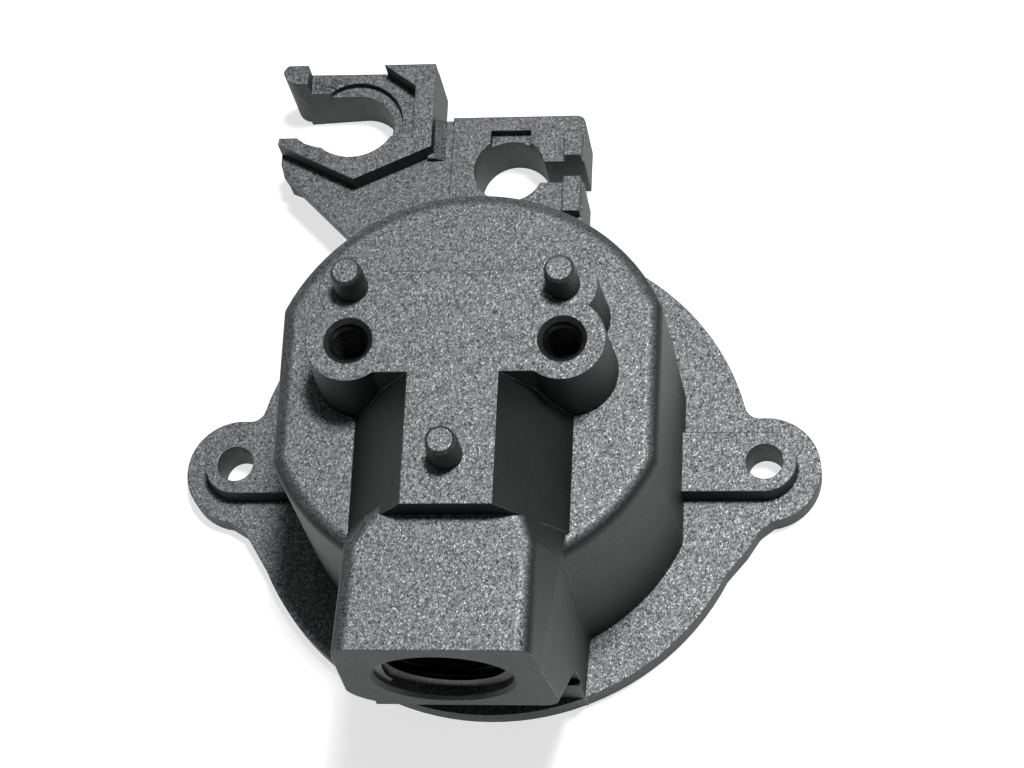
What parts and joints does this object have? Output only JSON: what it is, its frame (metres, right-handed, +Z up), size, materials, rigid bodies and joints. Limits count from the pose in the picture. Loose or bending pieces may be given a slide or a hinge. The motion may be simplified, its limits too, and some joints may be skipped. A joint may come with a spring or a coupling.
{
  "type": "die cast housing",
  "caption": "Cast housing with a round eared flange, a hollow dome, a T-shaped seat with pegs and tapped holes, a threaded side port and two pipe clips.",
  "frame": {"origin": "centre of the round flange on its mounting face, midway between the two ear holes", "axes": "+Z up through the dome to the pegs, -Y out of the threaded port, +Y towards the two clips, +X along the ears"},
  "size_m": [0.105, 0.1163, 0.0618],
  "materials": {
    "cast_metal": "shot-blasted as cast"
  },
  "bodies": {
    "root": {"housing": "cast_metal"}
  },
  "joints": []
}
